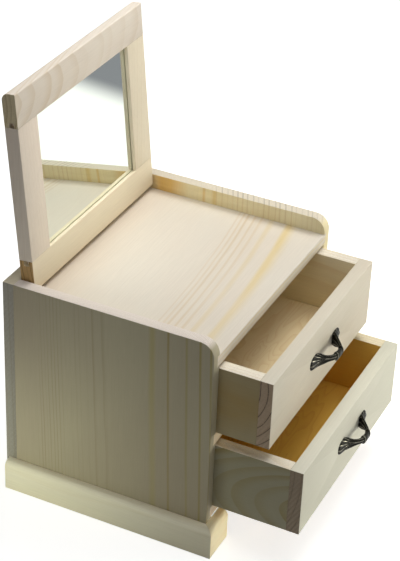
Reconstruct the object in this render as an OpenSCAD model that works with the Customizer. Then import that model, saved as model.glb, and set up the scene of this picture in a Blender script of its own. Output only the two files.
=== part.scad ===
// Vanity box: a pine carcase with two drawers and a tilting framed mirror.
// Millimetres, Z up. The origin is on the floor, at mid width, in the plane of
// the rear face of the back panel. The front looks along -Y.
// The drawers are drawn part open and the mirror upright, leaning back.

/* [Carcase] */
// Width over the two sides
body_w = 182; // [174:1:196]
// Depth from the front edge of the sides to the rear face
body_d = 149.6; // [146:0.2:156]
// Height of the sides and the back panel
body_h = 160; // [156:1:170]
// Thickness of the carcase boards
board_t = 8; // [6.5:0.5:8.5]
// Radius of the upper front corner of each side
corner_r = 10; // [3:1:12]
// Depth of the tray above the top board
tray_d = 11; // [10.8:0.1:13]
// Underside of the board between the drawers, above the floor
divider_z = 81.3; // [76:0.1:84]

/* [Plinth] */
// Height of the plinth strips
plinth_h = 22; // [18:0.5:24]
// Thickness of the plinth strips
plinth_t = 7; // [5:0.5:8]
// Round on the upper outer edge of the plinth
plinth_r = 4; // [1:0.5:4.5]
// Width of each foot piece across the front
foot_w = 26.2; // [18:0.2:40]

/* [Drawers] */
// Opening of the upper drawer
upper_open = 36.5; // [0:0.5:110]
// Opening of the lower drawer
lower_open = 60.8; // [0:0.1:110]
// Thickness of the drawer boards
drawer_t = 9; // [7:0.5:10]
// Thickness of the drawer bottoms
drawer_bottom_t = 3.6; // [3:0.2:4.5]
// Height of the upper drawer
upper_h = 49.2; // [44:0.1:49.6]
// Height of the lower drawer
lower_h = 48.5; // [40:0.1:48.8]
// Side clearance of a drawer in its bay
drawer_gap = 0.4; // [0.2:0.1:1]

/* [Pulls] */
// Distance of the pulls to the right of mid width
pull_x = 2; // [-10:1:10]
// Height of the pull centre above the underside of the drawer
pull_rise = 25.5; // [18:0.5:30]
// Distance between the two screws of a pull
pull_pitch = 26.8; // [26:0.2:28]

/* [Mirror] */
// Height of the mirror frame
frame_h = 137.5; // [110:0.5:139]
// Clearance between the frame and each side
frame_gap = 1.5; // [1:0.1:3]
// Thickness of the frame
frame_t = 9.65; // [9:0.05:9.8]
// Width of the frame members
member_w = 22.7; // [16:0.1:28]
// Lean of the mirror behind the vertical
lean = 5.33; // [0:0.01:5.5]
// Radius of the pivot pins
pin_r = 1.5; // [1.2:0.1:1.8]

/* [Hidden] */
$fn = 64;

pine = [0.87, 0.76, 0.58];
pine_pale = [0.91, 0.83, 0.68];
bronze = [0.24, 0.21, 0.17];
steel = [0.62, 0.62, 0.6];
silvered = [0.78, 0.83, 0.85];
brown = [0.45, 0.36, 0.26];

eps = 0.5;
front_y = -body_d;
inner_x = body_w / 2 - board_t;
outer_x = body_w / 2;
back_y = -board_t;
board_d = body_d - board_t;
top_z = body_h - tray_d;
top_under_z = top_z - board_t;
floor_gap = 0.7;
bottom_z = plinth_h + floor_gap;
slide_gap = 0.3;
plinth_inset = 2.5;
dado_d = 2.5;
stop_gap = 1.6;

// Drawers
drawer_w = 2 * (inner_x - drawer_gap);
drawer_d = board_d - stop_gap;
upper_z = divider_z + board_t + slide_gap;
lower_z = bottom_z + board_t + slide_gap;
groove_d = 3;
groove_z = 3;
groove_play = 0.2;
bore_r = 1.5;
screw_r = 1.2;
screw_reach = 3;
head_r = 2.6;
head_t = 1.6;
slot_w = 0.7;
slot_d = 0.8;

// Mirror, in its own frame: pivot axis at 0, front face towards -Y
frame_w = 2 * (inner_x - frame_gap);
pivot_up = 3.62;
pivot_y = -13.55;
pivot_z = body_h - 5.45;
half_t = frame_t / 2;
glass_t = 3;
glass_y = 3.1;
glass_slot_y = 2.7;
glass_slot_t = 3.6;
glass_slot_d = 3.4;
glass_lap = 3;
tenon_stop = 3.4;
rebate_y = 7.2;
backing_t = 2.1;
top_r = 5;
bottom_r = 3;
front_r = 0.8;
pin_seat = 6;
pin_reach = 9;
pin_play = 0.05;

// Pull outline: distance from mid length, outer face, under face, half height
pull_rows = [
    [0, 11.7, 8.9, 2.7],
    [3, 11.5, 8.7, 2.6],
    [6, 10.5, 7.6, 2.4],
    [8, 9.2, 6, 2.45],
    [10, 7.5, 3.9, 3.1],
    [11.4, 6.2, 1.7, 4.1],
    [12.4, 5.3, -0.4, 4.8],
    [14, 4.2, -2.6, 5.1],
    [16, 3.1, -2.9, 5.15],
    [19, 2.3, -2.3, 5],
    [21.5, 1.9, -1.9, 4.3],
    [23.2, 1.5, -1.5, 2.9],
    [24, 0.9, -0.9, 0.9]
];
// Swelling of the collar: distance from mid length, scale
collar_rows = [[0, 1.2], [1.4, 1.17], [2.6, 1.2], [3.1, 1.32], [3.7, 1.42],
    [4.3, 1.3], [4.7, 1.05], [5.4, 1]];
// Stations along one half of the pull
pull_steps = concat([for (i = [1:13]) i * 0.4], [for (i = [1:11]) 5.2 + i * 0.62],
    [for (i = [1:13]) 12.02 + i * 0.9], [24]);
pull_points = 30;
arm_flutes = 8;
shell_flutes = 11;
arm_flute_d = 0.14;
shell_flute_d = 0.4;
shell_root = 10;

function row_at(t, i, u) =
    (i >= len(t) - 2 || u < t[i + 1][0]) ? i : row_at(t, i + 1, u);
function row_slope(t, i, c) =
    let (a = max(i - 1, 0), b = min(i + 1, len(t) - 1))
    (t[b][c] - t[a][c]) / (t[b][0] - t[a][0]);
// Smooth curve through column c of table t
function curve(t, c, u) =
    let (i = row_at(t, 0, u), h = t[i + 1][0] - t[i][0], s = (u - t[i][0]) / h)
    (1 + 2 * s) * pow(1 - s, 2) * t[i][c]
    + s * pow(1 - s, 2) * h * row_slope(t, i, c)
    + s * s * (3 - 2 * s) * t[i + 1][c]
    + s * s * (s - 1) * h * row_slope(t, i + 1, c);

// One point of the pull: x along it, a round the section
function pull_point(x, a) =
    let (u = abs(x), t = curve(pull_rows, 1, u), b = curve(pull_rows, 2, u),
        h = curve(pull_rows, 3, u), k = lookup(u, collar_rows),
        mid = (t + b) / 2, half = (t - b) / 2, z = h * cos(a),
        shell = min(max((u - shell_root - 0.5) / 3.5, 0), 1),
        arm = 0.5 - 0.5 * cos(arm_flutes * a),
        fan = 0.5 - 0.5 * cos(shell_flutes * atan2(z, max(u - shell_root, 0.5))),
        outer = 1 - arm_flute_d * arm * (1 - shell) - shell_flute_d * fan * shell,
        under = 1 - arm_flute_d * arm * (1 - shell) * 0.3)
    [x, -max(mid + half * sin(a) * k * (sin(a) > 0 ? outer : under), 0),
        z * k * (1 - arm_flute_d * 0.5 * arm * (1 - shell))];

// A cast bow pull: fluted arms between a ringed collar and two shell feet
module pull_solid() {
    xs = concat([for (i = [len(pull_steps) - 1:-1:0]) -pull_steps[i]], [0], pull_steps);
    n = pull_points;
    m = len(xs);
    pts = [for (x = xs, j = [0:n - 1]) pull_point(x, 90 + 360 * j / n)];
    skin = [for (i = [0:m - 2], j = [0:n - 1])
        [i * n + j, i * n + (j + 1) % n, (i + 1) * n + (j + 1) % n, (i + 1) * n + j]];
    first = [[for (j = [n - 1:-1:0]) j]];
    last = [[for (j = [0:n - 1]) (m - 1) * n + j]];
    polyhedron(points = pts, faces = concat(skin, first, last), convexity = 6);
}

// Board with its near, left, low corner at p
module board(p, s) {
    translate(p)
        cube(s);
}

// Carcase side in the plane of Y and Z, upper front corner rounded
module side_shape() {
    translate([front_y, 0])
        square([board_d, body_h - corner_r]);
    translate([front_y + corner_r, 0])
        square([board_d - corner_r, body_h]);
    translate([front_y + corner_r, body_h - corner_r])
        circle(corner_r);
}

module side(x) {
    difference() {
        translate([x, 0, 0])
            rotate([90, 0, 90])
                linear_extrude(board_t)
                    side_shape();
        for (z = [top_under_z, divider_z, bottom_z])
            board([-inner_x - dado_d, front_y - eps, z],
                [2 * (inner_x + dado_d), board_d + 2 * eps, board_t]);
        translate([-inner_x - pin_seat, pivot_y, pivot_z])
            rotate([0, 90, 0])
                cylinder(h = 2 * (inner_x + pin_seat), r = pin_r);
    }
}

module left_side() {
    color(pine)
        side(-outer_x);
}

module right_side() {
    color(pine)
        side(inner_x);
}

module back_panel() {
    color(pine)
        board([-outer_x, back_y, 0], [body_w, board_t, body_h]);
}

// Shelf housed in the two sides
module shelf(z) {
    board([-inner_x - dado_d, front_y, z], [2 * (inner_x + dado_d), board_d, board_t]);
}

module top_board() {
    color(pine_pale)
        shelf(top_under_z);
}

module divider() {
    color(pine)
        shelf(divider_z);
}

module bottom_board() {
    color(pine)
        shelf(bottom_z);
}

// Plinth section: wall at 0, outer face at plinth_t
module plinth_shape() {
    intersection() {
        square([plinth_t, plinth_h]);
        union() {
            square([plinth_t, plinth_h - plinth_r]);
            square([plinth_t - plinth_r, plinth_h]);
            translate([plinth_t - plinth_r, plinth_h - plinth_r])
                circle(plinth_r);
        }
    }
}

module plinth_strip() {
    len_y = body_d - plinth_inset + plinth_t;
    difference() {
        translate([-outer_x, front_y - plinth_t + len_y, 0])
            rotate([90, 0, 180])
                mirror([0, 0, 1])
                    linear_extrude(len_y)
                        plinth_shape();
        mitre_wedge(1);
    }
}

module foot_strip() {
    difference() {
        translate([-outer_x - plinth_t, front_y, 0])
            rotate([90, 0, 90])
                mirror([1, 0, 0])
                    linear_extrude(foot_w)
                        plinth_shape();
        mitre_wedge(-1);
    }
}

// The half space beyond the corner mitre
module mitre_wedge(s) {
    r = 3 * plinth_t;
    translate([-outer_x, front_y, -eps])
        linear_extrude(plinth_h + 2 * eps)
            polygon(s > 0
                ? [[r, r], [-r, -r], [r, -r]]
                : [[r, r], [-r, -r], [-r, r]]);
}

module plinth_left() {
    color(pine_pale)
        plinth_strip();
}

module plinth_right() {
    color(pine_pale)
        mirror([1, 0, 0])
            plinth_strip();
}

module foot_left() {
    color(pine_pale)
        foot_strip();
}

module foot_right() {
    color(pine_pale)
        mirror([1, 0, 0])
            foot_strip();
}

// Pivot pin between a side and the bottom rail of the mirror
module pin() {
    translate([-inner_x - pin_seat, pivot_y, pivot_z])
        rotate([0, 90, 0])
            cylinder(h = pin_seat + frame_gap + pin_reach, r = pin_r);
}

module pivot_pin_left() {
    color(steel)
        pin();
}

module pivot_pin_right() {
    color(steel)
        mirror([1, 0, 0])
            pin();
}

// Mirror in place, leaning back about the pivot
module tilted() {
    translate([0, pivot_y, pivot_z])
        rotate([-lean, 0, 0])
            children();
}

// Rail section in Y and Z, low edge at 0; r0, r1 round the low front and rear
// arrises, r2, r3 the upper front and rear ones
module rail_shape(r0, r1, r2, r3) {
    y0 = -half_t;
    y1 = half_t;
    h = member_w;
    difference() {
        translate([y0, 0])
            square([frame_t, h]);
        corner(y0, 0, r0, 1, 1);
        corner(y1, 0, r1, -1, 1);
        corner(y0, h, r2, 1, -1);
        corner(y1, h, r3, -1, -1);
    }
}

// Waste outside a quarter round of radius r at a corner
module corner(y, z, r, sy, sz) {
    translate([y, z])
        scale([sy, sz])
            difference() {
                translate([-1, -1])
                    square([r + 1, r + 1]);
                translate([r, r])
                    circle(r);
            }
}

// Slot for the glass, through to both ends, and the rebate for the backing,
// stopped in the rails at half_w from mid width
module frame_grooves(half_w) {
    h0 = -pivot_up + member_w;
    h1 = -pivot_up + frame_h - member_w;
    board([-frame_w, -half_t + glass_slot_y, h0 - glass_slot_d],
        [2 * frame_w, glass_slot_t, h1 - h0 + 2 * glass_slot_d]);
    board([-half_w, -half_t + rebate_y, h0 - glass_slot_d],
        [2 * half_w, frame_t, h1 - h0 + 2 * glass_slot_d]);
}

module rail(z, r0, r1, r2, r3) {
    difference() {
        translate([-frame_w / 2, 0, z])
            rotate([90, 0, 90])
                linear_extrude(frame_w)
                    rail_shape(r0, r1, r2, r3);
        frame_grooves(frame_w / 2 - member_w + glass_slot_d);
    }
}

module mirror_top_rail() {
    color(pine)
        tilted()
            rail(-pivot_up + frame_h - member_w, 0, 0, front_r, top_r);
}

module mirror_bottom_rail() {
    color(pine)
        tilted()
            difference() {
                rail(-pivot_up, bottom_r, bottom_r, 0, 0);
                for (s = [-1, 1])
                    translate([s * (frame_w / 2 - pin_reach / 2), 0, 0])
                        rotate([0, 90, 0])
                            cylinder(h = pin_reach + 2 * eps, r = pin_r + pin_play, center = true);
            }
}

// Left stile with a stub tenon in the slot at each end
module stile() {
    z0 = -pivot_up + member_w;
    h = frame_h - 2 * member_w;
    x0 = -frame_w / 2;
    difference() {
        union() {
            board([x0, -half_t, z0], [member_w, frame_t, h]);
            board([x0 + tenon_stop, -half_t + glass_slot_y, z0 - glass_slot_d],
                [member_w - tenon_stop, glass_slot_t, h + 2 * glass_slot_d]);
        }
        board([x0 + member_w - glass_slot_d, -half_t + glass_slot_y, z0 - member_w],
            [member_w, glass_slot_t, h + 2 * member_w]);
        board([x0 + member_w - glass_slot_d, -half_t + rebate_y, z0 - member_w],
            [member_w, frame_t, h + 2 * member_w]);
    }
}

module mirror_left_stile() {
    color(pine)
        tilted()
            stile();
}

module mirror_right_stile() {
    color(pine)
        tilted()
            mirror([1, 0, 0])
                stile();
}

// Sheet filling the sight opening, lapped into the frame all round
module sheet(y, t) {
    w = frame_w - 2 * member_w + 2 * glass_lap;
    h = frame_h - 2 * member_w + 2 * glass_lap;
    board([-w / 2, -half_t + y, -pivot_up + member_w - glass_lap], [w, t, h]);
}

module mirror_glass() {
    color(silvered)
        tilted()
            sheet(glass_y, glass_t);
}

module mirror_backing() {
    color(brown)
        tilted()
            sheet(rebate_y, backing_t);
}

// Moves a drawer at height z out by open
module opened(z, open) {
    translate([0, front_y - open, z])
        children();
}

// Groove that carries the drawer bottom
module bottom_groove(z0) {
    w = drawer_w - 2 * (drawer_t - groove_d);
    board([-w / 2, drawer_t - groove_d, z0],
        [w, drawer_d, drawer_bottom_t + groove_play]);
}

// Places the two screws of a pull
module at_screws() {
    for (s = [-1, 1])
        translate([pull_x + s * pull_pitch / 2, 0, pull_rise])
            rotate([90, 0, 0])
                children();
}

module drawer_front(h) {
    difference() {
        board([-drawer_w / 2, 0, 0], [drawer_w, drawer_t, h]);
        bottom_groove(groove_z);
        at_screws()
            translate([0, 0, -drawer_t - eps])
                cylinder(h = drawer_t + 2 * eps, r = bore_r);
    }
}

module drawer_side(h) {
    difference() {
        board([-drawer_w / 2, drawer_t, 0], [drawer_t, drawer_d - drawer_t, h]);
        bottom_groove(groove_z);
    }
}

// Back, set above the bottom so the bottom slides in under it
module drawer_back(h) {
    z0 = groove_z + drawer_bottom_t + groove_play;
    board([-drawer_w / 2 + drawer_t, drawer_d - drawer_t, z0],
        [drawer_w - 2 * drawer_t, drawer_t, h - z0]);
}

module drawer_bottom() {
    w = drawer_w - 2 * (drawer_t - groove_d) - 2 * groove_play;
    board([-w / 2, drawer_t - groove_d + groove_play, groove_z + groove_play / 2],
        [w, drawer_d - drawer_t + groove_d - groove_play - eps, drawer_bottom_t]);
}

module drawer_pull() {
    translate([pull_x, 0, pull_rise])
        pull_solid();
}

module pull_screw() {
    difference() {
        union() {
            translate([0, 0, -drawer_t])
                cylinder(h = drawer_t + screw_reach, r = screw_r);
            translate([0, 0, -drawer_t - head_t])
                cylinder(h = head_t, r = head_r);
        }
        board([-head_r - eps, -slot_w / 2, -drawer_t - head_t - eps],
            [2 * (head_r + eps), slot_w, slot_d + eps]);
    }
}

module drawer_screws() {
    at_screws()
        pull_screw();
}

module upper_front() {
    color(pine_pale)
        opened(upper_z, upper_open)
            drawer_front(upper_h);
}

module upper_left_side() {
    color(pine)
        opened(upper_z, upper_open)
            drawer_side(upper_h);
}

module upper_right_side() {
    color(pine)
        opened(upper_z, upper_open)
            mirror([1, 0, 0])
                drawer_side(upper_h);
}

module upper_back() {
    color(pine)
        opened(upper_z, upper_open)
            drawer_back(upper_h);
}

module upper_bottom() {
    color(pine_pale)
        opened(upper_z, upper_open)
            drawer_bottom();
}

module upper_pull() {
    color(bronze)
        opened(upper_z, upper_open)
            drawer_pull();
}

module upper_pull_screws() {
    color(steel)
        opened(upper_z, upper_open)
            drawer_screws();
}

module lower_front() {
    color(pine_pale)
        opened(lower_z, lower_open)
            drawer_front(lower_h);
}

module lower_left_side() {
    color(pine)
        opened(lower_z, lower_open)
            drawer_side(lower_h);
}

module lower_right_side() {
    color(pine)
        opened(lower_z, lower_open)
            mirror([1, 0, 0])
                drawer_side(lower_h);
}

module lower_back() {
    color(pine)
        opened(lower_z, lower_open)
            drawer_back(lower_h);
}

module lower_bottom() {
    color(pine_pale)
        opened(lower_z, lower_open)
            drawer_bottom();
}

module lower_pull() {
    color(bronze)
        opened(lower_z, lower_open)
            drawer_pull();
}

module lower_pull_screws() {
    color(steel)
        opened(lower_z, lower_open)
            drawer_screws();
}

left_side();
right_side();
back_panel();
top_board();
divider();
bottom_board();
plinth_left();
plinth_right();
foot_left();
foot_right();
pivot_pin_left();
pivot_pin_right();
mirror_top_rail();
mirror_bottom_rail();
mirror_left_stile();
mirror_right_stile();
mirror_glass();
mirror_backing();
upper_front();
upper_left_side();
upper_right_side();
upper_back();
upper_bottom();
upper_pull();
upper_pull_screws();
lower_front();
lower_left_side();
lower_right_side();
lower_back();
lower_bottom();
lower_pull();
lower_pull_screws();
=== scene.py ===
# Vanity box: a bare pine carcase with two drawers on cast bow pulls and a
# framed mirror that tilts on pins. Everything is in metres, in the frame of
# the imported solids: floor at Z 0, rear face at Y 0, front towards -Y.
import math

import bmesh
import bpy
from mathutils import Matrix, Vector


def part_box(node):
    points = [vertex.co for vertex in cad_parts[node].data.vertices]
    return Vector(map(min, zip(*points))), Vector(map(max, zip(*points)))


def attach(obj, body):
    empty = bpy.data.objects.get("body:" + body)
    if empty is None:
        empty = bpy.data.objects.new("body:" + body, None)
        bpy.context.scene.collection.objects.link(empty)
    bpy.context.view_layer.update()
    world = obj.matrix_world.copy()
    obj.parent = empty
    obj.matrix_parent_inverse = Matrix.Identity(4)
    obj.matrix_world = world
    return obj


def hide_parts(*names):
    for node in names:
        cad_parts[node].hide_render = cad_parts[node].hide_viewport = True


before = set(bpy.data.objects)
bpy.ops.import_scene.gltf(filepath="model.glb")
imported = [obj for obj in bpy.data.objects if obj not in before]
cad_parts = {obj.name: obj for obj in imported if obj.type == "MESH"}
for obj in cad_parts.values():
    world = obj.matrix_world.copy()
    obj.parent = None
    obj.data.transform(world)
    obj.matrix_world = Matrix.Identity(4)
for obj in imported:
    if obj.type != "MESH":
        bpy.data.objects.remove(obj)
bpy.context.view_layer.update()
scene = bpy.context.scene
scene.view_settings.view_transform = "Standard"


# The stand: a pale floor that runs up behind the box as one sweep of matt
# white paint. Camera and gloss rays see it brighter, and it still takes the
# shadow of the box. Gloss rays alone see its far right end glow grey: a
# painted reflection of a darker room, which only the mirror shows.
def linear(hex_colour):
    """A written sRGB colour as the linear RGBA that shaders use."""
    parts = [int(hex_colour[i:i + 2], 16) / 255 for i in (1, 3, 5)]
    return [p / 12.92 if p <= 0.04045 else ((p + 0.055) / 1.055) ** 2.4 for p in parts] + [1.0]


def node(tree, kind, links=(), sockets=(), **settings):
    """Adds a node with its settings, its socket values and the links into it.
    Where a link starts from a node, it starts from its first output."""
    made = tree.nodes.new(kind)
    for key, value in settings.items():
        setattr(made, key, value)
    for key, value in dict(sockets).items():
        made.inputs[key].default_value = value
    for key, source in dict(links).items():
        first = isinstance(source, bpy.types.Node)
        tree.links.new(source.outputs[0] if first else source, made.inputs[key])
    return made


def blank_material(name):
    """A new material and its empty tree."""
    made = bpy.data.materials.new(name)
    made.use_nodes = True
    made.node_tree.nodes.clear()
    return made, made.node_tree


paint, tree = blank_material("white_matt_paint")
ray = node(tree, "ShaderNodeLightPath")
place = node(tree, "ShaderNodeTexCoord")
# The painted grey reflection begins this far to the right of the box as the camera sees it
RIGHTWARD, GREY_FROM, GREY_TO = (0.911, 0.413, 0), 0.36, 0.405
# What the floor shows the camera over and above the light on it
LIFT = 0.74
rightward = node(tree, "ShaderNodeVectorMath", {0: place.outputs["Object"]}, {1: RIGHTWARD},
                 operation="DOT_PRODUCT")
far_end = node(tree, "ShaderNodeMapRange", {"Value": rightward.outputs["Value"]},
               {"From Min": GREY_FROM, "From Max": GREY_TO}, interpolation_type="SMOOTHSTEP")
# Gloss rays alone get the grey: a painted reflection
painted_reflection_mask = node(tree, "ShaderNodeMath", {0: far_end, 1: ray.outputs["Is Glossy Ray"]},
              operation="MULTIPLY")
matt = node(tree, "ShaderNodeBsdfDiffuse", sockets={"Color": linear("#D6D6D4")})
seen = node(tree, "ShaderNodeMath",
            {0: ray.outputs["Is Camera Ray"], 1: ray.outputs["Is Glossy Ray"]}, operation="MAXIMUM")
lift_amount = node(tree, "ShaderNodeMath", {0: seen}, {1: LIFT}, operation="MULTIPLY")
lift = node(tree, "ShaderNodeEmission", {"Strength": lift_amount})
white = node(tree, "ShaderNodeAddShader", {0: matt, 1: lift})
grey = node(tree, "ShaderNodeEmission", sockets={"Color": linear("#94969B"), "Strength": 1.0})
either = node(tree, "ShaderNodeMixShader", {0: painted_reflection_mask, 1: white, 2: grey})
node(tree, "ShaderNodeOutputMaterial", {"Surface": either})

floor_mesh = bpy.data.meshes.new("floor")
reach, rise, bend_r, steps = 6.0, 4.0, 1.2, 16
profile = [(-reach, 0.0), (reach - bend_r, 0.0)]
profile += [(reach - bend_r + bend_r * math.sin(math.pi / 2 * i / steps),
             bend_r - bend_r * math.cos(math.pi / 2 * i / steps)) for i in range(1, steps + 1)]
profile += [(reach, rise)]
turn = Matrix.Rotation(math.radians(-60), 4, "Z")
corners = [turn @ Vector((side * reach, y, z)) for y, z in profile for side in (-1, 1)]
faces = [(2 * i, 2 * i + 1, 2 * i + 3, 2 * i + 2) for i in range(len(profile) - 1)]
floor_mesh.from_pydata(corners, [], faces)
floor_mesh.materials.append(paint)
floor = bpy.data.objects.new("floor", floor_mesh)
scene.collection.objects.link(floor)

# The light: a broad soft lamp above the right side, weaker ones overhead and
# above the front, and a low one that fills the fronts. The left faces stay in
# shade; narrow weak lamps lift their rear end, the strip below it and the foot.
world = bpy.data.worlds.new("room")
scene.world = world
world.use_nodes = True
world.node_tree.nodes.clear()
tree = world.node_tree
ray = node(tree, "ShaderNodeLightPath")
seen = node(tree, "ShaderNodeMath",
            {0: ray.outputs["Is Camera Ray"], 1: ray.outputs["Is Glossy Ray"]}, operation="MAXIMUM")
dim = node(tree, "ShaderNodeBackground", sockets={"Color": linear("#F6F7FA"), "Strength": 0.05})
bright = node(tree, "ShaderNodeBackground", sockets={"Color": (1, 1, 1, 1), "Strength": 1.0})
pick = node(tree, "ShaderNodeMixShader", {0: seen, 1: dim, 2: bright})
node(tree, "ShaderNodeOutputWorld", {"Surface": pick})


def lamp(name, place, aim, size, power, colour, spread=180):
    """A round soft lamp: its place, what it points at, its width in metres,
    its power in watts, its colour and the angle that its light spreads to."""
    light = bpy.data.lights.new(name, "AREA")
    light.shape = "DISK"
    light.size = size
    light.energy = power
    light.color = linear(colour)[:3]
    light.spread = math.radians(spread)
    holder = bpy.data.objects.new(name, light)
    holder.location = place
    holder.rotation_euler = (Vector(aim) - Vector(place)).to_track_quat("-Z", "Y").to_euler()
    scene.collection.objects.link(holder)


lamp("soft_lamp_right", (0.6, -0.15, 1.2), (0, -0.15, 0.1), 0.7, 8.3, "#FFFDF8")
lamp("soft_lamp_top", (-0.05, 0.02, 1.2), (-0.05, 0, 0), 0.7, 2.3, "#FFFFFF")
lamp("soft_lamp_front", (0, -0.7, 1.4), (0, -0.1, 0.1), 1.0, 3.7, "#FFFFFF")
lamp("low_lamp_front", (0.3, -0.9, 0.10), (0, -0.16, 0.01), 0.25, 2.6, "#FFFDF2")
lamp("soft_lamp_left", (-0.90, 0.10, 0.35), (-0.091, -0.03, 0.125), 0.20, 0.016, "#FFFFFA", 22)
lamp("low_lamp_left", (-0.60, 0.30, 0.03), (-0.094, -0.03, 0.035), 0.10, 0.021, "#FBFFE4", 22)
lamp("low_lamp_rear", (-0.50, 0.45, 0.025), (-0.098, 0.02, 0.01), 0.08, 0.014, "#FBFFE4", 18)
lamp("low_lamp_foot", (-0.05, -0.50, 0.010), (-0.083, -0.157, 0.006), 0.03, 0.0018, "#FFFBEA", 12)

# The view: high at the left front, as the box was photographed. Its place,
# angles and lens are those of a pinhole camera fitted to the box's edges.
view = bpy.data.cameras.new("view")
view.sensor_fit = "VERTICAL"
view.sensor_height = 24
view.lens = 75.39
heading, pitch, roll = (math.radians(a) for a in (65.275, -31.949, 2.527))
ahead = Vector((math.sin(heading) * math.cos(pitch), math.cos(heading) * math.cos(pitch),
                math.sin(pitch)))
level = Vector((math.cos(heading), -math.sin(heading), 0))
above = level.cross(ahead)
across = math.cos(roll) * level + math.sin(roll) * above
upright = -math.sin(roll) * level + math.cos(roll) * above
camera = bpy.data.objects.new("view", view)
stance = Matrix((across, upright, -ahead)).transposed().to_4x4()
stance.translation = (-0.8963, -0.5086, 0.7562)
camera.matrix_world = stance
scene.collection.objects.link(camera)
scene.camera = camera


# The carcase: two upright sides, a back panel between them, and three shelves
# housed across, all of 8 mm planed radiata pine left bare. The arrises are
# rubbed down with fine paper; the two front corners at the top are rounded.
def corners_over(shape, degrees):
    """The edges of a mesh where two faces meet at more than this angle."""
    return [e for e in shape.edges
            if len(e.link_faces) == 2 and e.calc_face_angle() > math.radians(degrees)]


def eased(name, source, ease, body, finish):
    """A copy of a CAD node that stands for it, with its faces merged and its
    arrises rubbed down by ease, in metres."""
    shape = bmesh.new()
    shape.from_mesh(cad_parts[source].data)
    bmesh.ops.remove_doubles(shape, verts=shape.verts, dist=1e-6)
    bmesh.ops.dissolve_limit(shape, angle_limit=math.radians(0.5), verts=shape.verts,
                             edges=shape.edges)
    bmesh.ops.bevel(shape, geom=corners_over(shape, 30), offset=ease, offset_type="OFFSET",
                    segments=2, profile=0.5, affect="EDGES", clamp_overlap=True)
    bmesh.ops.recalc_face_normals(shape, faces=shape.faces)
    for face in shape.faces:
        face.smooth = True
    for edge in corners_over(shape, 28):
        edge.smooth = False
    made = bpy.data.meshes.new(name)
    shape.to_mesh(made)
    shape.free()
    made.materials.clear()
    made.materials.append(finish)
    piece = bpy.data.objects.new(name, made)
    scene.collection.objects.link(piece)
    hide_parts(source)
    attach(piece, body)


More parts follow.
